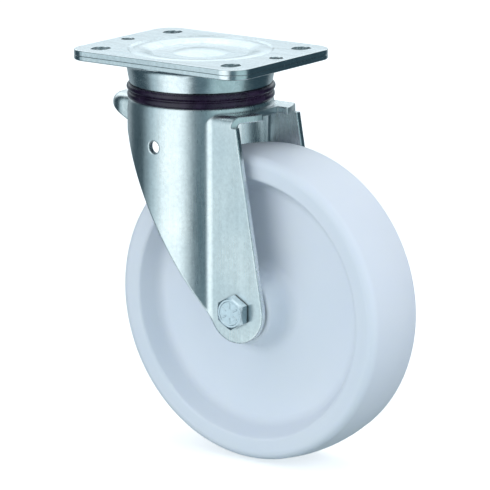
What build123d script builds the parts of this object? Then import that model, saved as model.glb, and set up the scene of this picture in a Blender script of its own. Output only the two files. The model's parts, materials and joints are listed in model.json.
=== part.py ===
from build123d import *
import os
from math import cos, pi, sin, sqrt

# A plate-mounted swivel castor. Millimetres.
# Origin: centre of the top plate, on its upper face. +Z is up, X runs along the axle,
# and the wheel trails towards -Y. The bolt head is on the -X side.

# ---- Driving dimensions -------------------------------------------------------------

PLATE_X = 105.0                 # plate side along the axle
PLATE_Y = 135.0                 # plate side along the rolling direction
PLATE_CORNER = 14.0
TOP_SHEET = 3.5                 # thickness of the upper sheet
LOWER_SHEET = 3.0               # thickness of the lower sheet
SHEET_EDGE = 0.8                # rounding on the plate's outer edges
HOLE_EDGE = 0.5                 # rounding on the edges of its slots and holes
SLOT_SPACING_X = 74.0
SLOT_SPACING_Y = 102.0
SLOT_WIDTH = 11.0
SLOT_LENGTH = 13.5              # along X
SMALL_HOLE_SPACING = 117.0      # two holes on the Y centre line
SMALL_HOLE_RADIUS = 4.4

RING_OUTER = 46.2               # pressed ring in the top plate
RING_INNER = 30.6
RECESS_DEPTH = 2.4              # depth of the pressed area below the mounting face
CREST_DEPTH = 0.2               # the ring's crest and the dome stay this far below it
RING_CREST = 40.0
GROOVE_DEPTH = 0.9              # shallow groove outside the ring
DOME_RADIUS = 18.0
RING_FOOT = 1.4                 # the step down to the groove takes this much of the radius

NECK_TOP_RADIUS = 47.6          # outside of the neck where it leaves the lower sheet
NECK_BOTTOM_RADIUS = 45.2
NECK_DRAW_RADIUS = 4.5          # between the neck and the sheet it is drawn from
NECK_FLOOR = -22.5              # underside of the neck's floor

HEAD_TOP = -29.6                # top face of the fork's round head
HEAD_RADIUS = 46.6
HEAD_TAPER = 0.8                # the head is this much slimmer at its top
HEAD_TAPER_DEPTH = 9.0
SHELF_TOP = -33.6               # top face of the fork's shelf and nose
FORK_SHEET = 4.0
FORK_GAP = 60.5                 # between the cheeks' inner faces

AXLE_Y = -52.0                  # swivel offset
AXLE_Z = -156.0
WHEEL_RADIUS = 100.0
WHEEL_WIDTH = 50.0

# ---- Worked-out and secondary dimensions --------------------------------------------

CHEEK_OUTER = FORK_GAP / 2 + FORK_SHEET
CHEEK_INNER = FORK_GAP / 2
CHEEK_END_RADIUS = 20.5
CHEEK_FRONT_TOP = (47.3, -27.5)     # the cheek's front edge runs from here to its round end
CHEEK_REAR_TOP = (-50.3, -38.0)     # and its rear edge from here
VALLEY_RADIUS = 8.0                 # between the round head and the flat cheeks
BEND_RADIUS = 6.0                   # outside of the bend from the shelf into the cheeks
NOSE_CENTRE_Y = 52.0
NOSE_RADIUS = 15.0
NOSE_BLEND = 4.0
SKIRT_TIP = (75.0, -35.0)           # lower edge of the nose: from this corner (Y, Z)
SKIRT_FOOT = (46.0, -50.0)          # back to here,
SKIRT_END = (30.0, -50.5)           # and level until it meets the cheek's front edge
SKIRT_BLEND = 12.0
SHELF_EDGE_RADIUS = 59.5            # rear edge of the shelf, about the swivel axis
SHEARED_EDGE = 0.5                  # rounding on the fork's cut edges
SHELF_TRIM = 2.5                    # this edge reaches this far below the shelf's sheet
NOTCH_HALF_WIDTH = 13.0
NOTCH_FRONT_Y = -50.0
SIDE_HOLE_RADIUS = 4.0
SIDE_HOLE_Y = 2.0
SIDE_HOLE_Z = -56.2
HEAD_HOLE_RADIUS = 14.0             # hole in the head around the kingpin

UPPER_BALL_RADIUS = 4.76
UPPER_PITCH_RADIUS = 34.5
UPPER_BALL_COUNT = 22
LOWER_BALL_RADIUS = 3.97
LOWER_PITCH_RADIUS = 25.5
LOWER_BALL_COUNT = 19
TRACK_PLAY = 0.05                   # play of every ball in its track
UPPER_BALL_Z = (NECK_FLOOR + HEAD_TOP) / 2
LOWER_TRACK_DEPTH = 1.2
LOWER_BALL_Z = SHELF_TOP + LOWER_TRACK_DEPTH - LOWER_BALL_RADIUS
RACE_TOP = LOWER_BALL_Z - LOWER_BALL_RADIUS + LOWER_TRACK_DEPTH
RACE_THICKNESS = 4.5
RACE_RADIUS = 32.0

KINGPIN_RADIUS = 8.0
KINGPIN_HEAD_RADIUS = 18.0
KINGPIN_HEAD_HEIGHT = 9.0
KINGPIN_NUT_ACROSS_FLATS = 24.0
KINGPIN_NUT_HEIGHT = 10.5
KINGPIN_END = 3.0                   # how far the pin stands out of its nut

SEAL_RADIUS = 47.0
SEAL_INNER_RADIUS = 41.6
SEAL_TOP = -21.2
SEAL_BEAD_RADIUS = 2.2
SEAL_CLEARANCE = 0.35

BOLT_RADIUS = 6.0
BOLT_HOLE_PLAY = 0.15
BOLT_ACROSS_FLATS = 19.0
BOLT_HEAD_HEIGHT = 6.4
WASHER_BORE = 6.5
WASHER_RADIUS = 12.0
WASHER_THICKNESS = 2.5
NUT_HEX_HEIGHT = 9.5
NUT_COLLAR_HEIGHT = 4.0
NUT_COLLAR_RADIUS = 8.4
INSERT_THICKNESS = 1.6
INSERT_RADIUS = 7.3
INSERT_LIP = 1.0                    # the collar's rolled edge outside the insert
BOLT_STICK_OUT = 3.0

TUBE_OUTER = 8.5
TUBE_INNER = 6.2
BEARING_BORE = 8.5
BEARING_OUTER = 17.5
BEARING_WIDTH = 10.0
BEARING_START = 18.0                # from the wheel's middle plane to the bearing
BEARING_PITCH_RADIUS = 13.0
BEARING_BALL_RADIUS = 2.38
BEARING_BALL_COUNT = 10
INNER_RING_OUTER = 11.5
OUTER_RING_INNER = 14.7
CAGE_INNER = 12.2
CAGE_OUTER = 13.9
CAGE_WIDTH = 7.0
CAGE_PLAY = 0.12                    # around each ball, in its pocket
BEARING_SEAL_THICKNESS = 0.8
BEARING_SEAL_RECESS = 0.3
SPACER_RADIUS = 10.8
HUB_FACE = 28.6
HUB_RADIUS = 22.0                   # at the hub's end
HUB_FOOT_RADIUS = 27.0              # where the hub meets the disc
HUB_SHOULDER = 1.5                  # step in the hub's bore behind each bearing
DISC_HALF_THICKNESS = 11.0
RECESS_RADIUS = 84.0                # dished side, at the wheel's face
RECESS_FLOOR_RADIUS = 77.0          # and at the disc
TREAD_CROWN = 1.6
TREAD_HALF_WIDTH = 18.0
TREAD_EDGE_DROP = 0.9


# ---- Helpers ------------------------------------------------------------------------

def swivel_ring(inner_radius, outer_radius, bottom, top):
    """Ring about the swivel axis."""
    height = top - bottom
    ring = Cylinder(outer_radius, height) - Cylinder(inner_radius, height)
    return Pos(0, 0, bottom + height / 2) * ring


def swivel_cylinder(radius, bottom, top):
    """Solid cylinder about the swivel axis."""
    height = top - bottom
    return Pos(0, 0, bottom + height / 2) * Cylinder(radius, height)


def axle_ring(inner_radius, outer_radius, start, end):
    """Ring about the axle, between two places along X."""
    width = end - start
    ring = Cylinder(outer_radius, width) - Cylinder(inner_radius, width)
    return on_axle(Pos(start + width / 2, 0, 0) * Rot(0, 90, 0) * ring)


def axle_cylinder(radius, start, end):
    """Solid cylinder about the axle, between two places along X."""
    return on_axle(Pos((start + end) / 2, 0, 0) * Rot(0, 90, 0) * Cylinder(radius, end - start))


def on_axle(shape):
    """Moves a shape made about the X axis onto the axle."""
    return Pos(0, AXLE_Y, AXLE_Z) * shape


def round_corner(sketch, corner, radius):
    """Rounds the one corner of a section that is nearest to a point."""
    nearest = sketch.vertices().sort_by_distance(Vector(*corner, 0))[0]
    return fillet(nearest, radius)


def turned_about_z(section):
    """Turns a section drawn as (radius, height) about the swivel axis."""
    return revolve(Plane.XZ * section, axis=Axis.Z)


def turned_about_x(section):
    """Turns a section drawn as (place along X, radius) about the X axis."""
    return revolve(section, axis=Axis.X)


def ball_circle(radius, pitch_radius, count):
    """Balls about the Z axis, each a separate solid."""
    step = 2 * pi / count
    balls = []
    for index in range(count):
        angle = index * step
        balls.append(Pos(pitch_radius * cos(angle), pitch_radius * sin(angle), 0) * Sphere(radius))
    return balls


def hexagon(across_flats, height, chamfer_both):
    """Hexagon prism standing on the XY plane, its corners turned off at 30 degrees."""
    prism = extrude(RegularPolygon(across_flats / 2, 6, major_radius=False), amount=height)
    corner = across_flats / sqrt(3)
    face_radius = across_flats / 2 - 0.3
    outside = corner + 1
    drop = (outside - face_radius) / sqrt(3)
    outline = [(0, height), (face_radius, height), (outside, height - drop)]
    if chamfer_both:
        outline += [(outside, drop), (face_radius, 0), (0, 0)]
    else:
        outline += [(outside, 0), (0, 0)]
    return prism & turned_about_z(make_face(Polyline(*outline, close=True)))


# ---- Plate and swivel head ----------------------------------------------------------

def plate_outline():
    """Outline shared by the two sheets of the plate."""
    return RectangleRounded(PLATE_X, PLATE_Y, PLATE_CORNER)


def plate_holes(top, depth):
    """Four slots along X and two small holes, through a sheet."""
    slot = extrude(SlotOverall(SLOT_LENGTH, SLOT_WIDTH), amount=-depth)
    small = extrude(Circle(SMALL_HOLE_RADIUS), amount=-depth)
    cutters = []
    for side in (-1, 1):
        for end in (-1, 1):
            cutters.append(Pos(side * SLOT_SPACING_X / 2, end * SLOT_SPACING_Y / 2, top) * slot)
        cutters.append(Pos(0, side * SMALL_HOLE_SPACING / 2, top) * small)
    return cutters


def round_holes(sheet, level):
    """Rounds the edges of the slots and small holes in a sheet's flat face at one height."""
    faces = sheet.faces().filter_by(Axis.Z).filter_by_position(Axis.Z, level - 0.01, level + 0.01)
    edges = ShapeList()
    for wire in faces.sort_by(SortBy.AREA)[-1].inner_wires():
        if wire.length < 4 * SLOT_LENGTH:
            edges += wire.edges()
    return fillet(edges, HOLE_EDGE)


def pressed_curve(shift):
    """The pressed ring and dome as one line from the rim to the middle, moved down by a shift."""
    floor = -RECESS_DEPTH - shift
    crest = -CREST_DEPTH - shift
    foot = RING_OUTER - RING_FOOT
    groove = -GROOVE_DEPTH - shift
    step = Line((RING_OUTER, -shift), (foot, groove))
    ring = ThreePointArc((foot, groove), (RING_CREST, crest), (RING_INNER, floor))
    flat = Line((RING_INNER, floor), (DOME_RADIUS, floor))
    dome = TangentArc((0, crest), (DOME_RADIUS, floor), tangent=(1, 0))
    return [step, ring, flat, dome]


def make_top_plate():
    """Upper sheet: a flat rim with slots around a pressed ring and dome."""
    sheet = extrude(plate_outline(), amount=-TOP_SHEET)
    sheet = fillet(sheet.edges().group_by(Axis.Z)[-1], SHEET_EDGE)
    sheet = fillet(sheet.edges().group_by(Axis.Z)[0], SHEET_EDGE / 2)
    outer = Line((RING_OUTER, 0), (RING_OUTER, -TOP_SHEET))
    middle = Line((0, -CREST_DEPTH), (0, -CREST_DEPTH - TOP_SHEET))
    section = make_face(pressed_curve(0) + [middle] + pressed_curve(TOP_SHEET) + [outer])
    for corner, radius in (
        ((RING_OUTER - RING_FOOT, -GROOVE_DEPTH), 0.5),
        ((RING_INNER, -RECESS_DEPTH), 0.8),
        ((DOME_RADIUS, -RECESS_DEPTH), 3.0),
    ):
        section = round_corner(section, corner, radius)
    sheet -= Cylinder(RING_OUTER, 4 * TOP_SHEET)
    sheet += turned_about_z(section)
    for cutter in plate_holes(1, TOP_SHEET + 2):
        sheet -= cutter
    return round_holes(sheet, 0)


def make_neck_plate():
    """Lower sheet of the same outline, drawn down into a round neck with a ball track."""
    sheet = extrude(plate_outline(), amount=-LOWER_SHEET)
    sheet = fillet(sheet.edges().group_by(Axis.Z)[-1], SHEET_EDGE / 2)
    sheet = fillet(sheet.edges().group_by(Axis.Z)[0], SHEET_EDGE)
    sheet = Pos(0, 0, -TOP_SHEET) * sheet
    seam = NECK_TOP_RADIUS + NECK_DRAW_RADIUS + 0.3
    sheet -= Pos(0, 0, -TOP_SHEET) * Cylinder(seam, 4 * LOWER_SHEET)
    top = -TOP_SHEET
    under = top - LOWER_SHEET
    floor = NECK_FLOOR + LOWER_SHEET
    outline = [
        (seam, top),
        (seam, under),
        (NECK_TOP_RADIUS, under),
        (NECK_BOTTOM_RADIUS - 0.3, NECK_FLOOR),
        (KINGPIN_RADIUS, NECK_FLOOR),
        (KINGPIN_RADIUS, floor),
        (NECK_BOTTOM_RADIUS - LOWER_SHEET, floor),
        (NECK_TOP_RADIUS - LOWER_SHEET, top),
    ]
    section = make_face(Polyline(*outline, close=True))
    for corner, radius in (
        (outline[2], NECK_DRAW_RADIUS),
        (outline[7], NECK_DRAW_RADIUS + LOWER_SHEET / 2),
        (outline[3], 2.6),
        (outline[6], 1.2),
    ):
        section = round_corner(section, corner, radius)
    sheet += turned_about_z(section)
    for cutter in plate_holes(top + 1, LOWER_SHEET + 2):
        sheet -= cutter
    track = Torus(UPPER_PITCH_RADIUS, UPPER_BALL_RADIUS + TRACK_PLAY)
    return round_holes(sheet, under) - Pos(0, 0, UPPER_BALL_Z) * track


def make_kingpin():
    """Headed pin from the neck's floor down through the head, the lower race and the nut."""
    head_base = NECK_FLOOR + LOWER_SHEET
    end = RACE_TOP - RACE_THICKNESS - KINGPIN_NUT_HEIGHT - KINGPIN_END
    shank = swivel_cylinder(KINGPIN_RADIUS, end, head_base)
    head = swivel_cylinder(KINGPIN_HEAD_RADIUS, head_base, head_base + KINGPIN_HEAD_HEIGHT)
    head = fillet(head.edges().group_by(Axis.Z)[-1], 3.0)
    shank = chamfer(shank.edges().group_by(Axis.Z)[0], 1.2)
    return head + shank


def make_kingpin_nut():
    """Hexagon nut that clamps the lower race."""
    nut = hexagon(KINGPIN_NUT_ACROSS_FLATS, KINGPIN_NUT_HEIGHT, True)
    nut = Pos(0, 0, RACE_TOP - RACE_THICKNESS - KINGPIN_NUT_HEIGHT) * nut
    return nut - swivel_cylinder(KINGPIN_RADIUS, AXLE_Z, 0)


def make_lower_race():
    """Turned disc with a ball track on its upper face and a hub against the nut."""
    bottom = RACE_TOP - RACE_THICKNESS
    race = swivel_ring(KINGPIN_RADIUS, RACE_RADIUS, bottom, RACE_TOP)
    race = fillet(race.edges().filter_by(GeomType.CIRCLE).sort_by(SortBy.RADIUS)[-2:], 1.0)
    hub = swivel_ring(KINGPIN_RADIUS, HEAD_HOLE_RADIUS - 2, RACE_TOP, NECK_FLOOR)
    track = Torus(LOWER_PITCH_RADIUS, LOWER_BALL_RADIUS + TRACK_PLAY)
    return race + hub - Pos(0, 0, LOWER_BALL_Z) * track


def make_dust_seal():
    """Rubber ring on the head, with two beads and a lip around the neck's bottom edge."""
    lip = SEAL_TOP
    foot = HEAD_TOP - 1.5
    bead = SEAL_BEAD_RADIUS
    outline = [
        (SEAL_INNER_RADIUS, NECK_FLOOR - SEAL_CLEARANCE),
        (SEAL_RADIUS - bead, NECK_FLOOR - SEAL_CLEARANCE),
        (SEAL_RADIUS - bead, lip),
        (SEAL_RADIUS - 1, lip),
        (SEAL_RADIUS - 1, foot),
        (SEAL_INNER_RADIUS, foot),
    ]
    body = turned_about_z(make_face(Polyline(*outline, close=True)))
    upper_bead = Pos(0, 0, lip - bead) * Torus(SEAL_RADIUS - bead, bead)
    lower_bead = Pos(0, 0, HEAD_TOP + bead / 2) * Torus(SEAL_RADIUS - bead - 0.3, bead)
    seal = body + upper_bead + lower_bead
    neck_space = swivel_cylinder(NECK_BOTTOM_RADIUS + SEAL_CLEARANCE, NECK_FLOOR - SEAL_CLEARANCE, 0)
    return seal - neck_space - head_shape()


def make_upper_balls():
    """Ring of balls between the neck's floor and the head."""
    balls = ball_circle(UPPER_BALL_RADIUS, UPPER_PITCH_RADIUS, UPPER_BALL_COUNT)
    return Compound([Pos(0, 0, UPPER_BALL_Z) * ball for ball in balls])


def make_lower_balls():
    """Ring of balls between the head's underside and the lower race."""
    balls = ball_circle(LOWER_BALL_RADIUS, LOWER_PITCH_RADIUS, LOWER_BALL_COUNT)
    return Compound([Pos(0, 0, LOWER_BALL_Z) * ball for ball in balls])


# ---- Fork ---------------------------------------------------------------------------

def head_shape():
    """Outside of the fork's round head, slightly slimmer at its top."""
    bottom = SHELF_TOP - HEAD_TAPER_DEPTH
    outline = [
        (0, HEAD_TOP),
        (HEAD_RADIUS - HEAD_TAPER, HEAD_TOP),
        (HEAD_RADIUS, HEAD_TOP - HEAD_TAPER_DEPTH),
        (HEAD_RADIUS, bottom),
        (0, bottom),
    ]
    section = make_face(Polyline(*outline, close=True))
    return turned_about_z(round_corner(section, outline[1], 3.0))


def fork_plan(inset):
    """Plan of the fork's walls: round head, nose and cheeks, drawn in by an inset."""
    head = Circle(HEAD_RADIUS - inset)
    cheek_length = -AXLE_Y + CHEEK_END_RADIUS + 20
    cheeks = Pos(0, -cheek_length / 2) * Rectangle(2 * (CHEEK_OUTER - inset), cheek_length)
    nose = Pos(0, NOSE_CENTRE_Y) * Circle(NOSE_RADIUS - inset)
    nose += Pos(0, NOSE_CENTRE_Y / 2) * Rectangle(2 * (NOSE_RADIUS - inset), NOSE_CENTRE_Y)
    plan = head + cheeks + nose
    for side in (-1, 1):
        half = CHEEK_OUTER - inset
        valley = -sqrt((HEAD_RADIUS - inset) ** 2 - half**2)
        plan = round_corner(plan, (side * half, valley), VALLEY_RADIUS + inset)
        half = NOSE_RADIUS - inset
        neck = sqrt((HEAD_RADIUS - inset) ** 2 - half**2)
        plan = round_corner(plan, (side * half, neck), NOSE_BLEND + inset)
    return plan


def fork_profile():
    """Side view of the fork, as a slab across the whole width."""
    lower_end = Pos(AXLE_Y, AXLE_Z) * Circle(CHEEK_END_RADIUS)
    above = CHEEK_FRONT_TOP[1]
    cheek_top = Polyline(CHEEK_FRONT_TOP, (CHEEK_REAR_TOP[0], above), CHEEK_REAR_TOP, close=True)
    profile = make_hull(lower_end.edges() + cheek_top.edges())
    skirt = [(SKIRT_TIP[0], above), SKIRT_TIP, SKIRT_FOOT, SKIRT_END, (SKIRT_END[0], above)]
    profile += make_face(Polyline(*skirt, close=True))
    shelf_bottom = SHELF_TOP - FORK_SHEET - SHELF_TRIM
    shelf_height = above - shelf_bottom
    shelf_length = 25.0
    shelf = Rectangle(shelf_length, shelf_height, align=(Align.MAX, Align.MIN))
    profile += Pos(-SHELF_EDGE_RADIUS + shelf_length - 5, shelf_bottom) * shelf
    profile = round_corner(profile, SKIRT_END, SKIRT_BLEND)
    return extrude(Plane.YZ * profile, amount=CHEEK_OUTER + 20, both=True)


def make_fork():
    """Pressed fork: round head, shelf with a notch, nose, and two cheeks."""
    depth = -AXLE_Z + CHEEK_END_RADIUS + SHELF_TOP + 5
    outside = extrude(fork_plan(0), amount=-depth)
    outside = fillet(outside.edges().group_by(Axis.Z)[-1], BEND_RADIUS)
    inside = extrude(fork_plan(FORK_SHEET), amount=-depth)
    inside = fillet(inside.edges().group_by(Axis.Z)[-1], BEND_RADIUS - FORK_SHEET)
    fork = (Pos(0, 0, SHELF_TOP) * outside & fork_profile()) + head_shape()
    fork -= Pos(0, 0, SHELF_TOP - FORK_SHEET) * inside
    fork -= swivel_cylinder(HEAD_RADIUS - FORK_SHEET, AXLE_Z, SHELF_TOP)
    fork -= rear_trim()
    fork -= swivel_cylinder(HEAD_HOLE_RADIUS, AXLE_Z, 0)
    track = Torus(UPPER_PITCH_RADIUS, UPPER_BALL_RADIUS + TRACK_PLAY)
    fork -= Pos(0, 0, UPPER_BALL_Z) * track
    track = Torus(LOWER_PITCH_RADIUS, LOWER_BALL_RADIUS + TRACK_PLAY)
    fork -= Pos(0, 0, LOWER_BALL_Z) * track
    side_hole = Rot(0, 90, 0) * Cylinder(SIDE_HOLE_RADIUS, HEAD_RADIUS)
    fork -= Pos(-HEAD_RADIUS, SIDE_HOLE_Y, SIDE_HOLE_Z) * side_hole
    fork = fillet(sheared_edges(fork), SHEARED_EDGE)
    fork = fillet(shelf_edges(fork), SHEARED_EDGE)
    return fork - axle_cylinder(BOLT_RADIUS + BOLT_HOLE_PLAY, -HEAD_RADIUS, HEAD_RADIUS)


def sheared_edges(fork):
    """Edges of the cut faces: those of the side profile and of the side hole."""
    edges = ShapeList()
    for face in fork.faces():
        if face.geom_type == GeomType.CYLINDER:
            is_cut = abs(face.axis_of_rotation.direction.X) > 0.99
        else:
            normal = face.normal_at(face.center())
            is_sloped = max(abs(normal.Y), abs(normal.Z)) < 0.9999
            is_cut = face.geom_type == GeomType.PLANE and abs(normal.X) < 0.001 and is_sloped
        if is_cut:
            edges += face.edges().filter_by(Axis.X, reverse=True)
    return edges


def shelf_edges(fork):
    """Upper edges of the shelf's rear end and of its notch."""
    top = fork.edges().filter_by_position(Axis.Z, SHELF_TOP - 0.01, SHELF_TOP + 0.01)
    return top.filter_by_position(Axis.Y, -SHELF_EDGE_RADIUS, NOTCH_FRONT_Y + 0.01)


def rear_trim():
    """What is cut off behind the shelf: all outside its round edge, and the notch."""
    low = SHELF_TOP - FORK_SHEET - SHELF_TRIM
    reach = 2 * SHELF_EDGE_RADIUS
    place = Pos(0, -reach / 2, low)
    rear = place * Box(reach, reach * 0.7, HEAD_TOP - low, align=(Align.CENTER, Align.CENTER, Align.MIN))
    rear -= swivel_cylinder(SHELF_EDGE_RADIUS, low - 1, 0)
    notch_height = FORK_SHEET + SHELF_TRIM + 2
    notch = Box(2 * NOTCH_HALF_WIDTH, reach / 3, notch_height, align=(Align.CENTER, Align.MAX, Align.MIN))
    return rear + Pos(0, NOTCH_FRONT_Y, low) * notch


# ---- Axle ---------------------------------------------------------------------------

def make_axle_bolt():
    """Hexagon bolt across the fork, its head on the -X side."""
    end = CHEEK_OUTER + WASHER_THICKNESS + NUT_HEX_HEIGHT + NUT_COLLAR_HEIGHT + BOLT_STICK_OUT
    length = CHEEK_OUTER + end
    head = Rot(0, -90, 0) * hexagon(BOLT_ACROSS_FLATS, BOLT_HEAD_HEIGHT, False)
    shank = Rot(0, 90, 0) * Cylinder(BOLT_RADIUS, length)
    shank = chamfer(shank.edges().sort_by(Axis.X)[-1], 1.2)
    bolt = Pos(-CHEEK_OUTER, 0, 0) * head + Pos(length / 2 - CHEEK_OUTER, 0, 0) * shank
    return on_axle(bolt)


def make_axle_washer():
    """Plain washer between the far cheek and the nut."""
    return axle_ring(WASHER_BORE, WASHER_RADIUS, CHEEK_OUTER, CHEEK_OUTER + WASHER_THICKNESS)


def make_axle_nut():
    """Locking nut: hexagon with a round collar that holds the insert."""
    base = CHEEK_OUTER + WASHER_THICKNESS
    body = Rot(0, 90, 0) * hexagon(BOLT_ACROSS_FLATS, NUT_HEX_HEIGHT, True)
    nut = on_axle(Pos(base, 0, 0) * body)
    collar_end = base + NUT_HEX_HEIGHT + NUT_COLLAR_HEIGHT
    collar = axle_ring(BOLT_RADIUS, NUT_COLLAR_RADIUS, base + NUT_HEX_HEIGHT - 1, collar_end)
    collar = fillet(collar.edges().sort_by(Axis.X)[-1], 1.0)
    nut += collar
    nut -= axle_cylinder(BOLT_RADIUS, base - 1, collar_end + 1)
    seat = collar_end - INSERT_THICKNESS - INSERT_LIP
    return nut - axle_cylinder(INSERT_RADIUS, seat, seat + INSERT_THICKNESS)


def make_nut_insert():
    """Ring inside the nut's collar that grips the bolt's thread."""
    end = CHEEK_OUTER + WASHER_THICKNESS + NUT_HEX_HEIGHT + NUT_COLLAR_HEIGHT
    seat = end - INSERT_THICKNESS - INSERT_LIP
    return axle_ring(BOLT_RADIUS, INSERT_RADIUS, seat, seat + INSERT_THICKNESS)


def make_axle_tube():
    """Tube on the bolt, clamped between the cheeks; the bearings sit on it."""
    return axle_ring(TUBE_INNER, TUBE_OUTER, -CHEEK_INNER, CHEEK_INNER)


def make_bearing_spacer():
    """Ring on the tube that keeps the two bearings apart."""
    return axle_ring(TUBE_OUTER, SPACER_RADIUS, -BEARING_START, BEARING_START)


def make_end_spacers():
    """Rings between the wheel bearings and the cheeks."""
    inner_end = BEARING_START + BEARING_WIDTH
    near = axle_ring(TUBE_OUTER, SPACER_RADIUS, -CHEEK_INNER, -inner_end)
    far = axle_ring(TUBE_OUTER, SPACER_RADIUS, inner_end, CHEEK_INNER)
    return Compound([near, far])


# ---- Wheel bearings -----------------------------------------------------------------

def bearing_middle(side):
    """Place of a bearing's middle along X."""
    return side * (BEARING_START + BEARING_WIDTH / 2)


def bearing_track(side):
    """Space that the balls roll in."""
    track = Rot(0, 90, 0) * Torus(BEARING_PITCH_RADIUS, BEARING_BALL_RADIUS + TRACK_PLAY)
    return on_axle(Pos(bearing_middle(side), 0, 0) * track)


def bearing_ring(side, inner_radius, outer_radius):
    """One ring of a ball bearing."""
    middle = bearing_middle(side)
    half = BEARING_WIDTH / 2
    return axle_ring(inner_radius, outer_radius, middle - half, middle + half) - bearing_track(side)


def make_bearing_inner_ring(side):
    """Ring on the axle tube, with its ball track."""
    return bearing_ring(side, BEARING_BORE, INNER_RING_OUTER)


def make_bearing_outer_ring(side):
    """Ring in the wheel's hub, with its ball track."""
    return bearing_ring(side, OUTER_RING_INNER, BEARING_OUTER)


def make_bearing_balls(side):
    """Balls of one wheel bearing."""
    place = Pos(bearing_middle(side), 0, 0) * Rot(0, 90, 0)
    balls = ball_circle(BEARING_BALL_RADIUS, BEARING_PITCH_RADIUS, BEARING_BALL_COUNT)
    return Compound([on_axle(place * ball) for ball in balls])


def make_bearing_cage(side):
    """Ring with a pocket around each ball."""
    middle = bearing_middle(side)
    cage = axle_ring(CAGE_INNER, CAGE_OUTER, middle - CAGE_WIDTH / 2, middle + CAGE_WIDTH / 2)
    for index in range(BEARING_BALL_COUNT):
        bore = Rot(0, 90, 0) * Cylinder(BEARING_BALL_RADIUS + CAGE_PLAY, BEARING_OUTER)
        pocket = Rot(0, 0, index * 360 / BEARING_BALL_COUNT) * Pos(BEARING_PITCH_RADIUS, 0, 0) * bore
        cage -= on_axle(Pos(middle, 0, 0) * Rot(0, 90, 0) * pocket)
    return cage


def make_bearing_seals(side):
    """Two thin seals held in the outer ring, just clear of the inner ring."""
    middle = bearing_middle(side)
    offset = BEARING_WIDTH / 2 - BEARING_SEAL_RECESS - BEARING_SEAL_THICKNESS / 2
    seals = []
    for face in (-1, 1):
        centre = middle + face * offset
        half = BEARING_SEAL_THICKNESS / 2
        seals.append(axle_ring(INNER_RING_OUTER + 0.1, OUTER_RING_INNER, centre - half, centre + half))
    return Compound(seals)


# ---- Wheel --------------------------------------------------------------------------

def make_wheel():
    """Solid plastic wheel: crowned tread, dished sides and a long hub."""
    half_width = WHEEL_WIDTH / 2
    shoulder = WHEEL_RADIUS - TREAD_CROWN
    disc = DISC_HALF_THICKNESS
    tread = ThreePointArc((-TREAD_HALF_WIDTH, shoulder), (0, WHEEL_RADIUS), (TREAD_HALF_WIDTH, shoulder))
    right_side = [
        (TREAD_HALF_WIDTH, shoulder),
        (half_width, shoulder - TREAD_EDGE_DROP),
        (half_width, RECESS_RADIUS),
        (disc, RECESS_FLOOR_RADIUS),
        (disc, HUB_FOOT_RADIUS),
        (HUB_FACE, HUB_RADIUS),
        (HUB_FACE, BEARING_OUTER),
        (BEARING_START, BEARING_OUTER),
        (BEARING_START, BEARING_OUTER - HUB_SHOULDER),
    ]
    left_side = [(-along, radius) for along, radius in reversed(right_side)]
    edge = Polyline(*right_side, *left_side)
    section = make_face([tread, edge])
    for side in (-1, 1):
        for index, radius in ((1, 6.0), (2, 2.5), (3, 7.0), (4, 8.0), (5, 3.0)):
            along, height = right_side[index]
            section = round_corner(section, (side * along, height), radius)
    return on_axle(turned_about_x(section))


# ---- Write one STEP file per piece --------------------------------------------------

def all_pieces():
    """Every piece, by name."""
    pieces = {
        "top_plate": make_top_plate(),
        "neck_plate": make_neck_plate(),
        "kingpin": make_kingpin(),
        "kingpin_nut": make_kingpin_nut(),
        "lower_race": make_lower_race(),
        "dust_seal": make_dust_seal(),
        "upper_swivel_balls": make_upper_balls(),
        "lower_swivel_balls": make_lower_balls(),
        "fork": make_fork(),
        "axle_bolt": make_axle_bolt(),
        "axle_washer": make_axle_washer(),
        "axle_nut": make_axle_nut(),
        "nut_insert": make_nut_insert(),
        "axle_tube": make_axle_tube(),
        "bearing_spacer": make_bearing_spacer(),
        "end_spacers": make_end_spacers(),
        "wheel": make_wheel(),
    }
    for name, side in (("near", -1), ("far", 1)):
        pieces[name + "_bearing_inner_ring"] = make_bearing_inner_ring(side)
        pieces[name + "_bearing_outer_ring"] = make_bearing_outer_ring(side)
        pieces[name + "_bearing_balls"] = make_bearing_balls(side)
        pieces[name + "_bearing_cage"] = make_bearing_cage(side)
        pieces[name + "_bearing_seals"] = make_bearing_seals(side)
    return pieces


os.makedirs("parts", exist_ok=True)
for piece_name, piece in all_pieces().items():
    export_step(piece, "parts/" + piece_name + ".step")
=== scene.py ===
import json
import math

import bpy
from mathutils import Matrix, Vector


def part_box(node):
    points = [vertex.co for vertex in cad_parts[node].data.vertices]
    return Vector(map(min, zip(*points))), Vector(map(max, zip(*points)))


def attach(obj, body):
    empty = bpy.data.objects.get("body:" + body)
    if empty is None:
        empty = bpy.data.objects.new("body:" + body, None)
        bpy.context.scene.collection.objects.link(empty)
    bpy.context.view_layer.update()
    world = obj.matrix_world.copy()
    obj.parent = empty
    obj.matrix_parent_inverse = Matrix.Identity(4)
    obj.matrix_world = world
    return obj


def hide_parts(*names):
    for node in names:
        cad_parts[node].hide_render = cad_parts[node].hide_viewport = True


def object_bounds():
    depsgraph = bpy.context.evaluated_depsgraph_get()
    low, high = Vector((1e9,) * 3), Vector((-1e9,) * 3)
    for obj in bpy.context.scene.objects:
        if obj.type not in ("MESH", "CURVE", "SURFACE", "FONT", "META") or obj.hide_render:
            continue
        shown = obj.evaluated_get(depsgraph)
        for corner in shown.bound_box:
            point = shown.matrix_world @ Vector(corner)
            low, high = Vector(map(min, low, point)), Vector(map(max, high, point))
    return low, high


# A plate-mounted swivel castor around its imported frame. Metres, in the frame's own axes:
# X along the axle (bolt head on -X), the wheel trails towards -Y, +Z up.

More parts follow.
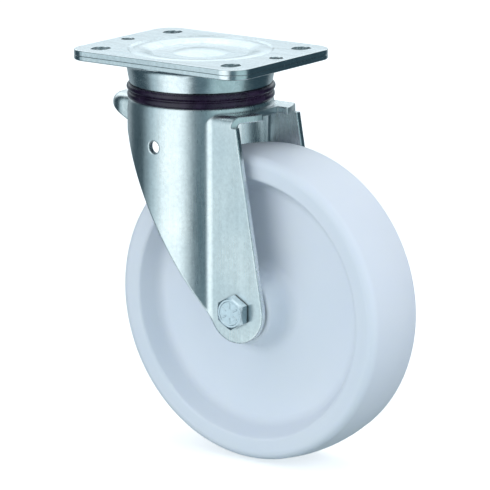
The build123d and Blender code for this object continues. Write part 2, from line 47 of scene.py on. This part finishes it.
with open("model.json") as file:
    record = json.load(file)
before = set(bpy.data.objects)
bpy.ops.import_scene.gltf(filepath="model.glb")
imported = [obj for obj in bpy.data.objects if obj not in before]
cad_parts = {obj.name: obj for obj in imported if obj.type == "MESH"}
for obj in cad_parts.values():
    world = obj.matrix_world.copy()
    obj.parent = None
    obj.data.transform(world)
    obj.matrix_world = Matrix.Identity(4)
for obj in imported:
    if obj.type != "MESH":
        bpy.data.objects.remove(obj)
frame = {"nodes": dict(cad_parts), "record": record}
CAD_LOW, CAD_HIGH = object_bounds()
NODES = frame["nodes"]


# ---- Node helpers -------------------------------------------------------------------

def add_node(tree, kind, inputs=None, **settings):
    """Adds a node; an input is a value, or a socket to link."""
    node = tree.nodes.new(kind)
    for name, value in settings.items():
        setattr(node, name, value)
    for key, value in (inputs or {}).items():
        if isinstance(value, bpy.types.NodeSocket):
            tree.links.new(value, node.inputs[key])
        else:
            node.inputs[key].default_value = value
    return node


def math_node(tree, operation, *values):
    inputs = {index: value for index, value in enumerate(values)}
    return add_node(tree, "ShaderNodeMath", inputs, operation=operation).outputs[0]


def noise(tree, vector, scale, detail=2.0, stretch=(1, 1, 1), roughness=0.5):
    """Noise of the piece's own coordinates, stretched along an axis if asked."""
    if stretch != (1, 1, 1):
        mapping = add_node(tree, "ShaderNodeMapping", {"Vector": vector, "Scale": stretch})
        vector = mapping.outputs[0]
    inputs = {"Vector": vector, "Scale": scale, "Detail": detail, "Roughness": roughness}
    return add_node(tree, "ShaderNodeTexNoise", inputs).outputs["Fac"]


def remap(tree, value, from_low, from_high, to_low, to_high):
    inputs = {"Value": value, 1: from_low, 2: from_high, 3: to_low, 4: to_high}
    return add_node(tree, "ShaderNodeMapRange", inputs).outputs[0]


def mix_colors(tree, factor, first, second, blend="MIX"):
    node = add_node(tree, "ShaderNodeMix", data_type="RGBA", blend_type=blend)
    for index, value in ((0, factor), (6, first), (7, second)):
        if isinstance(value, bpy.types.NodeSocket):
            tree.links.new(value, node.inputs[index])
        elif index == 0:
            node.inputs[index].default_value = value
        else:
            node.inputs[index].default_value = (*value, 1)
    return node.outputs[2]


def new_material(name):
    """An empty node material with its shader, tree and object coordinates."""
    material = bpy.data.materials.new(name)
    material.use_nodes = True
    tree = material.node_tree
    tree.nodes.clear()
    shader = add_node(tree, "ShaderNodeBsdfPrincipled")
    output = add_node(tree, "ShaderNodeOutputMaterial")
    tree.links.new(shader.outputs[0], output.inputs["Surface"])
    coordinates = add_node(tree, "ShaderNodeTexCoord").outputs["Object"]
    return material, tree, shader, coordinates


def edge_highlight_mask(tree, radius):
    """Mask for the painted edge highlight: 1 along convex and concave edges, 0 on flat areas."""
    rounded = add_node(tree, "ShaderNodeBevel", {"Radius": radius}, samples=6).outputs[0]
    flat = add_node(tree, "ShaderNodeNewGeometry").outputs["Normal"]
    same = add_node(tree, "ShaderNodeVectorMath", {0: rounded, 1: flat}, operation="DOT_PRODUCT")
    return remap(tree, same.outputs["Value"], 0.995, 0.80, 0.0, 1.0)


def crevice_mask(tree, reach):
    """Occlusion mask for painted shade: 1 in the open, falling to 0 in seams and corners."""
    inputs = {"Distance": reach}
    node = add_node(tree, "ShaderNodeAmbientOcclusion", inputs, samples=12)
    return remap(tree, node.outputs["AO"], 0.35, 0.9, 0.0, 1.0)


# ---- Materials ----------------------------------------------------------------------

def zinc(name, tint, shade, rough, stretch, soft=0.0, bump=0.06, edge=(0.92, 0.96, 0.98)):
    """Bright zinc plating on rolled steel: clouds, speckle, drawing streaks, a painted highlight along
    edges and painted shade in seams and corners.
    """
    material, tree, shader, place = new_material(name)
    clouds = noise(tree, place, 22.0, 3.0)
    mottle = noise(tree, place, 420.0, 4.0, roughness=0.65)
    streaks = noise(tree, place, 170.0, 3.0, stretch=stretch)
    grain = noise(tree, place, 900.0, 3.0, stretch=stretch)
    color = mix_colors(tree, remap(tree, clouds, 0.35, 0.65, 0.0, 1.0), tint, shade)
    mottle_part = math_node(tree, "MULTIPLY", mottle, 0.6)
    streak_part = math_node(tree, "MULTIPLY", streaks, 0.4)
    marks = math_node(tree, "ADD", mottle_part, streak_part)
    speckle = remap(tree, marks, 0.36, 0.64, 0.86, 1.06)
    grey = add_node(tree, "ShaderNodeCombineColor", {0: speckle, 1: speckle, 2: speckle})
    color = mix_colors(tree, 1.0, color, grey.outputs[0], "MULTIPLY")
    # Painted highlight: the base colour turns towards the pale edge colour along convex and concave
    # edges.
    color = mix_colors(tree, math_node(tree, "MULTIPLY", edge_highlight_mask(tree, 0.0007), 0.7), color, edge)
    # Painted shade: the base colour goes towards a dim copy of the shade colour where ambient occlusion
    # finds seams and corners.
    painted_shade = tuple(0.42 * value for value in shade)
    color = mix_colors(tree, crevice_mask(tree, 0.0022), painted_shade, color)
    tree.links.new(color, shader.inputs["Base Color"])
    shader.inputs["Metallic"].default_value = 1.0
    low, high = rough
    varied = remap(tree, clouds, 0.3, 0.7, low, high)
    fine = remap(tree, math_node(tree, "ADD", grain, streaks), 0.6, 1.4, -0.06, 0.06)
    tree.links.new(math_node(tree, "ADD", varied, fine), shader.inputs["Roughness"])
    height = math_node(tree, "ADD", math_node(tree, "MULTIPLY", streaks, 0.9), mottle)
    inputs = {"Strength": bump, "Distance": 0.0004, "Height": height}
    if soft:
        inputs["Normal"] = add_node(tree, "ShaderNodeBevel", {"Radius": soft}, samples=8).outputs[0]
    tree.links.new(add_node(tree, "ShaderNodeBump", inputs).outputs[0], shader.inputs["Normal"])
    return material


def turned_steel(name, tint, rough, axis_stretch):
    """Turned or ground bearing steel with fine tool lines."""
    material, tree, shader, place = new_material(name)
    lines = noise(tree, place, 1500.0, 2.0, stretch=axis_stretch)
    clouds = noise(tree, place, 60.0, 3.0)
    dark = tuple(0.82 * value for value in tint)
    color = mix_colors(tree, remap(tree, clouds, 0.3, 0.7, 0.0, 1.0), tint, dark)
    tree.links.new(color, shader.inputs["Base Color"])
    shader.inputs["Metallic"].default_value = 1.0
    tree.links.new(remap(tree, lines, 0.25, 0.75, rough - 0.05, rough + 0.07), shader.inputs["Roughness"])
    inputs = {"Strength": 0.08, "Distance": 0.0002, "Height": lines}
    tree.links.new(add_node(tree, "ShaderNodeBump", inputs).outputs[0], shader.inputs["Normal"])
    return material


def polyamide(name):
    """White cast polyamide: satin, slightly translucent, with a faint moulded skin."""
    material, tree, shader, place = new_material(name)
    clouds = noise(tree, place, 14.0, 3.0)
    skin = noise(tree, place, 700.0, 3.0)
    soft = noise(tree, place, 90.0, 2.0)
    cloudy = remap(tree, clouds, 0.35, 0.65, 0.0, 1.0)
    color = mix_colors(tree, cloudy, (0.81, 0.84, 0.91), (0.84, 0.86, 0.92))
    tree.links.new(color, shader.inputs["Base Color"])
    tree.links.new(remap(tree, soft, 0.3, 0.7, 0.38, 0.50), shader.inputs["Roughness"])
    shader.inputs["Subsurface Weight"].default_value = 0.25
    shader.inputs["Subsurface Radius"].default_value = (1.0, 1.0, 1.2)
    shader.inputs["Subsurface Scale"].default_value = 0.004
    shader.inputs["Specular IOR Level"].default_value = 0.4
    height = math_node(tree, "ADD", math_node(tree, "MULTIPLY", skin, 0.4), soft)
    inputs = {"Strength": 0.05, "Distance": 0.0006, "Height": height}
    tree.links.new(add_node(tree, "ShaderNodeBump", inputs).outputs[0], shader.inputs["Normal"])
    return material


def rubber(name, tint, shade, rough):
    """Moulded rubber with dust and a fine pebbled skin."""
    material, tree, shader, place = new_material(name)
    clouds = noise(tree, place, 120.0, 4.0)
    skin = noise(tree, place, 1800.0, 3.0)
    color = mix_colors(tree, remap(tree, clouds, 0.4, 0.75, 0.0, 1.0), tint, shade)
    tree.links.new(color, shader.inputs["Base Color"])
    tree.links.new(remap(tree, clouds, 0.3, 0.7, rough - 0.08, rough + 0.1), shader.inputs["Roughness"])
    inputs = {"Strength": 0.12, "Distance": 0.0002, "Height": skin}
    tree.links.new(add_node(tree, "ShaderNodeBump", inputs).outputs[0], shader.inputs["Normal"])
    return material


ALONG_Y, ALONG_Z, EVEN = (1, 0.05, 1), (1, 1, 0.06), (1, 1, 1)      # how grain is stretched
CREASE = 0.0014                     # radius that softens the fork's creases
MATERIALS = {
    "zinc_plate": zinc("zinc_plate", (0.84, 0.87, 0.88), (0.76, 0.81, 0.83), (0.20, 0.28), ALONG_Y),
    "zinc_fork": zinc("zinc_fork", (0.84, 0.87, 0.87), (0.74, 0.80, 0.82), (0.25, 0.33), ALONG_Z, CREASE),
    "zinc_fastener": zinc("zinc_fastener", (0.86, 0.93, 0.97), (0.78, 0.87, 0.93), (0.24, 0.32), EVEN),
    "kingpin_steel": turned_steel("kingpin_steel", (0.58, 0.60, 0.62), 0.32, ALONG_Z),
    "race_steel": turned_steel("race_steel", (0.56, 0.58, 0.60), 0.30, ALONG_Z),
    "ball_steel": turned_steel("ball_steel", (0.74, 0.75, 0.76), 0.10, EVEN),
    "cage_steel": turned_steel("cage_steel", (0.60, 0.55, 0.42), 0.34, EVEN),
    "bearing_seal": rubber("bearing_seal", (0.020, 0.020, 0.022), (0.05, 0.05, 0.05), 0.5),
    "seal_rubber": rubber("seal_rubber", (0.012, 0.004, 0.018), (0.034, 0.018, 0.046), 0.24),
    "insert_nylon": rubber("insert_nylon", (0.10, 0.28, 0.55), (0.14, 0.34, 0.60), 0.45),
    "polyamide": polyamide("polyamide"),
}


def dress_nodes():
    """Gives every CAD node the material of its slot."""
    for part in frame["record"]["subparts"]:
        mesh = NODES[part["node"]].data
        mesh.materials.clear()
        mesh.materials.append(MATERIALS[part["material_slot"]])


dress_nodes()


# ---- Pieces built here --------------------------------------------------------------

BOLT_ACROSS_FLATS = 0.019
BOLT_RADIUS = 0.006
BOLT_HEAD = 0.0064                  # height of its head
BOLT_FACE_RADIUS = 0.0088           # its corners are turned off outside this
BOLT_FACE_DEPTH = 0.00025           # the face lies this far below its raised marks
BOLT_BASE = 0.0005                  # height of the washer face under the head
BOLT_BASE_RADIUS = 0.0091
THREAD_LENGTH = 0.020
THREAD_PITCH = 0.00175
THREAD_DEPTH = 0.0009
THREAD_CHAMFER = 0.0012
TICKS = 6
BEAD_STEPS = 14
SEAL_STEPS = 256


def skin_rings(rings):
    """Quads between rings of equally many points and a face on each end."""
    count = len(rings[0])
    vertices = [point for ring in rings for point in ring]
    faces = []
    for ring in range(len(rings) - 1):
        start = ring * count
        for index in range(count):
            after = (index + 1) % count
            faces.append((start + index, start + after, start + count + after, start + count + index))
    faces.append(tuple(reversed(range(count))))
    last = (len(rings) - 1) * count
    faces.append(tuple(range(last, last + count)))
    return vertices, faces


def make_piece(name, vertices, faces, node, body, slot, sharp):
    """A smooth-shaded piece in place of a CAD node."""
    mesh = bpy.data.meshes.new(name)
    mesh.from_pydata(vertices, [], faces)
    mesh.shade_smooth()
    mesh.set_sharp_from_angle(angle=math.radians(sharp))
    mesh.materials.append(MATERIALS[slot])
    piece = bpy.data.objects.new(name, mesh)
    bpy.context.scene.collection.objects.link(piece)
    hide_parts(node)
    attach(piece, body)
    return piece


def ring_about_axle(centre, along, radius_at, count):
    """Ring of points about the axle; radius_at gives the radius at an angle from +Y."""
    ring = []
    for index in range(count):
        angle = 2 * math.pi * index / count
        radius = radius_at(angle)
        place = (along, centre.y + radius * math.cos(angle), centre.z + radius * math.sin(angle))
        ring.append(place)
    return ring


def hexagon_radius(angle):
    """Distance from a hexagon's centre to its outline; one flat faces angle 0."""
    sector = math.pi / 3
    from_flat = (angle + sector / 2) % sector - sector / 2
    return BOLT_ACROSS_FLATS / 2 / math.cos(from_flat)


def turned_corners(centre, face, count):
    """Outline of the head where its corners are turned off at 30 degrees."""
    ring = []
    for along, y, z in ring_about_axle(centre, face, hexagon_radius, count):
        radius = math.hypot(y - centre.y, z - centre.z)
        drop = (radius - BOLT_FACE_RADIUS) * math.tan(math.radians(30))
        ring.append((along + drop, y, z))
    return ring


def thread_ring(centre, along, depth, limit, count):
    """Ring of points on a thread of a given depth, no wider than a limit."""

    def radius_at(angle):
        phase = (along / THREAD_PITCH - angle / (2 * math.pi)) % 1.0
        groove = min(1.0, 1.25 * (1 - abs(2 * phase - 1)))
        return min(limit, BOLT_RADIUS - depth * groove)

    return ring_about_axle(centre, along, radius_at, count)


def add_tick(vertices, faces, centre, base, top, angle):
    """A raised radial mark with sloped sides on the bolt's face."""
    start = len(vertices)
    out = Vector((0, math.cos(angle), math.sin(angle)))
    side = Vector((0, -math.sin(angle), math.cos(angle)))
    for along, near, far, half in ((base, 0.0030, 0.0066, 0.0006), (top, 0.0033, 0.0063, 0.0003)):
        for reach, width in ((near, -half), (far, -half), (far, half), (near, half)):
            place = Vector((along, centre.y, centre.z)) + out * reach + side * width
            vertices.append(tuple(place))
    for index in range(4):
        after = (index + 1) % 4
        faces.append((start + index, start + after, start + 4 + after, start + 4 + index))
    faces.append((start + 4, start + 5, start + 6, start + 7))
    faces.append((start + 3, start + 2, start + 1, start))


def make_axle_bolt():
    """Hexagon bolt with a turned face, raised marks, a washer face and a thread."""
    low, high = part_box("axle_bolt")
    centre = (low + high) / 2
    count = 96
    face = low.x + BOLT_FACE_DEPTH
    seat = low.x + BOLT_HEAD

    def round_ring(along, radius):
        return ring_about_axle(centre, along, lambda angle: radius, count)

    rings = [round_ring(face, BOLT_FACE_RADIUS * 0.84)]
    rings.append(round_ring(low.x, BOLT_FACE_RADIUS * 0.88))
    rings.append(round_ring(low.x, BOLT_FACE_RADIUS))
    rings.append(turned_corners(centre, low.x, count))
    rings.append(ring_about_axle(centre, seat - BOLT_BASE, hexagon_radius, count))
    rings.append(round_ring(seat - BOLT_BASE, BOLT_BASE_RADIUS))
    rings.append(round_ring(seat, BOLT_BASE_RADIUS))
    rings.append(round_ring(seat, BOLT_RADIUS))
    start = high.x - THREAD_LENGTH
    rings.append(round_ring(start, BOLT_RADIUS))
    steps = 120
    for step in range(1, steps + 1):
        along = start + THREAD_LENGTH * step / steps
        depth = THREAD_DEPTH * min(1.0, step / 10)
        limit = BOLT_RADIUS - max(0.0, THREAD_CHAMFER - (high.x - along))
        rings.append(thread_ring(centre, along, depth, limit, count))
    vertices, faces = skin_rings(rings)
    faces = [tuple(reversed(corners)) for corners in faces]
    for tick in range(TICKS):
        add_tick(vertices, faces, centre, face + 0.00005, low.x, math.pi * (2 * tick + 1) / TICKS)
    make_piece("bolt", vertices, faces, "axle_bolt", "fork", "zinc_fastener", 24.0)


def arc(centre, radius, start, end, steps):
    """Points of an arc in a section, from one angle to another in degrees."""
    points = []
    for step in range(steps + 1):
        angle = math.radians(start + (end - start) * step / steps)
        points.append((centre[0] + radius * math.cos(angle), centre[1] + radius * math.sin(angle)))
    return points


def make_seal():
    """Rubber dust seal: two round beads with a groove between them, and a lip by the neck."""
    low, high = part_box("dust_seal")
    outer = high.x
    top, bottom = high.z, low.z
    neck = outer - 0.0015
    section = [(outer - 0.0054, top - 0.0017), (neck, top - 0.0017), (neck, top - 0.0002)]
    section += arc((outer - 0.0022, top - 0.0022), 0.0022, 78, -62, BEAD_STEPS)
    section += arc((outer - 0.0006, top - 0.0047), 0.00055, 128, 222, 6)
    section += arc((outer - 0.0030, top - 0.0072), 0.0026, 58, -60, BEAD_STEPS)
    section += [(outer - 0.0020, bottom), (outer - 0.0045, bottom + 0.0012)]
    section.append((outer - 0.0054, bottom + 0.0015))
    count = SEAL_STEPS
    points = len(section)
    vertices = []
    for index in range(count):
        angle = 2 * math.pi * index / count
        vertices += [(r * math.cos(angle), r * math.sin(angle), z) for r, z in section]
    faces = []
    for ring in range(count):
        start, after = ring * points, (ring + 1) % count * points
        for index in range(points):
            following = (index + 1) % points
            faces.append((start + index, after + index, after + following, start + following))
    make_piece("seal", vertices, faces, "dust_seal", "fork", "seal_rubber", 40.0)


make_axle_bolt()
make_seal()


# ---- Studio -------------------------------------------------------------------------

CAMERA_AZIMUTH = -53.55
CAMERA_ELEVATION = 13.71
CAMERA_DISTANCE = 2.004
CAMERA_TARGET = Vector((0.0, -0.0342, -0.1226))
CAMERA_ROLL = -0.12
CAMERA_LENS = 233.0


def heading(azimuth, elevation):
    """Unit vector from the object towards a place in the room, in degrees."""
    a, e = math.radians(azimuth), math.radians(elevation)
    return Vector((math.sin(a) * math.cos(e), -math.cos(a) * math.cos(e), math.sin(e)))


def make_camera():
    data = bpy.data.cameras.new("camera")
    data.lens = CAMERA_LENS
    data.clip_start, data.clip_end = 0.05, 50.0
    camera = bpy.data.objects.new("camera", data)
    back = heading(CAMERA_AZIMUTH, CAMERA_ELEVATION)
    aim = (-back).to_track_quat("-Z", "Y").to_matrix().to_4x4()
    roll = Matrix.Rotation(math.radians(CAMERA_ROLL), 4, "Z")
    camera.matrix_world = Matrix.Translation(CAMERA_TARGET + back * CAMERA_DISTANCE) @ aim @ roll
    bpy.context.scene.collection.objects.link(camera)
    bpy.context.scene.camera = camera


def make_floor():
    """Plain pale floor under the wheel; the metal doesn't mirror it."""
    half = 12.0
    mesh = bpy.data.meshes.new("floor")
    z = CAD_LOW.z
    corners = [(-half, -half, z), (half, -half, z), (half, half, z), (-half, half, z)]
    mesh.from_pydata(corners, [], [(0, 1, 2, 3)])
    floor = bpy.data.objects.new("floor", mesh)
    bpy.context.scene.collection.objects.link(floor)
    material, tree, shader, place = new_material("floor")
    shader.inputs["Base Color"].default_value = (0.93, 0.93, 0.93, 1)
    shader.inputs["Roughness"].default_value = 0.9
    shader.inputs["Specular IOR Level"].default_value = 0.0
    shader.inputs["Emission Color"].default_value = (1, 1, 1, 1)
    shader.inputs["Emission Strength"].default_value = 0.5
    mesh.materials.append(material)
    floor.visible_glossy = False
    floor.visible_diffuse = False
    floor.visible_shadow = False


def band(tree, value, low, high, soft):
    """1 between two angles, falling to 0 over a soft edge."""
    rise = add_node(tree, "ShaderNodeMapRange",
                    {"Value": value, 1: low - soft, 2: low + soft, 3: 0.0, 4: 1.0},
                    interpolation_type="SMOOTHSTEP")
    fall = add_node(tree, "ShaderNodeMapRange",
                    {"Value": value, 1: high - soft, 2: high + soft, 3: 1.0, 4: 0.0},
                    interpolation_type="SMOOTHSTEP")
    return math_node(tree, "MULTIPLY", rise.outputs[0], fall.outputs[0])


# The room, as boxes of light: (azimuth, half width, elevations, soft edge, colour, strength).
BOXES = (
    (-99.0, 23.0, (-50.0, 48.0), 13.0, (1.0, 1.0, 0.98), 0.74),    # soft box left of the camera
    (-108.0, 37.0, (-54.0, 45.0), 7.0, (0.76, 0.98, 1.06), 0.55),  # pale wall around it
    (-50.0, 16.0, (-54.0, 45.0), 8.0, (0.60, 0.94, 1.10), 0.11),   # room behind the camera
    (-7.0, 29.0, (-54.0, 45.0), 9.0, (0.70, 0.97, 1.0), 0.56),     # soft box right of the camera
    (128.0, 40.0, (10.0, 60.0), 11.0, (0.88, 0.96, 1.0), 0.92),     # bright wall behind
    (128.0, 40.0, (-50.0, 60.0), 10.0, (0.82, 0.95, 1.0), 0.36),   # and its lower part
    (0.0, 200.0, (54.0, 95.0), 10.0, (0.88, 0.97, 1.0), 0.8),      # overhead
)


def make_world():
    """The room that the metal mirrors: soft boxes of light and darker gaps, fixed in the room."""
    world = bpy.data.worlds.new("room")
    world.use_nodes = True
    bpy.context.scene.world = world
    tree = world.node_tree
    tree.nodes.clear()
    direction = add_node(tree, "ShaderNodeTexCoord").outputs["Generated"]
    x, y, z = add_node(tree, "ShaderNodeSeparateXYZ", {0: direction}).outputs
    to_degrees = 180 / math.pi
    elevation = math_node(tree, "MULTIPLY", math_node(tree, "ARCSINE", z), to_degrees)
    color = None
    for azimuth, half, (low, high), soft, tint, strength in BOXES:
        along = heading(azimuth, 0)
        ahead = math_node(tree, "ADD", math_node(tree, "MULTIPLY", x, along.x),
                          math_node(tree, "MULTIPLY", y, along.y))
        aside = math_node(tree, "ADD", math_node(tree, "MULTIPLY", x, -along.y),
                          math_node(tree, "MULTIPLY", y, along.x))
        angle = math_node(tree, "MULTIPLY", math_node(tree, "ARCTAN2", aside, ahead), to_degrees)
        mask = band(tree, elevation, low, high, soft)
        if half < 180:
            mask = math_node(tree, "MULTIPLY", mask, band(tree, angle, -half, half, soft))
        light = tuple(strength * value for value in tint)
        lit = mix_colors(tree, mask, (0, 0, 0), light)
        color = lit if color is None else mix_colors(tree, 1.0, color, lit, "ADD")
    color = mix_colors(tree, 1.0, color, (0.030, 0.060, 0.078), "ADD")
    seen = add_node(tree, "ShaderNodeLightPath").outputs["Is Camera Ray"]
    color = mix_colors(tree, seen, color, (1.0, 1.0, 1.0))
    background = add_node(tree, "ShaderNodeBackground", {"Color": color, "Strength": 1.0})
    output = add_node(tree, "ShaderNodeOutputWorld")
    tree.links.new(background.outputs[0], output.inputs["Surface"])


def make_lamp(name, azimuth, elevation, distance, size, power, color):
    data = bpy.data.lights.new(name, "AREA")
    data.shape = "RECTANGLE"
    data.size, data.size_y = size
    data.energy = power
    data.color = color
    lamp = bpy.data.objects.new(name, data)
    aim = heading(azimuth, elevation)
    target = (CAD_LOW + CAD_HIGH) / 2
    turn = (-aim).to_track_quat("-Z", "Y").to_matrix().to_4x4()
    lamp.matrix_world = Matrix.Translation(target + aim * distance) @ turn
    lamp.visible_glossy = False
    bpy.context.scene.collection.objects.link(lamp)


make_camera()
make_floor()
make_world()
make_lamp("key", -118, 28, 1.5, (2.2, 2.0), 4.5, (0.93, 0.88, 1.0))
make_lamp("front", -48, 6, 1.9, (1.2, 1.2), 4.2, (0.92, 0.91, 1.0))
make_lamp("fill", 18, 18, 1.8, (1.4, 1.8), 17.5, (0.96, 0.93, 1.0))
bpy.context.scene.view_settings.view_transform = "Standard"
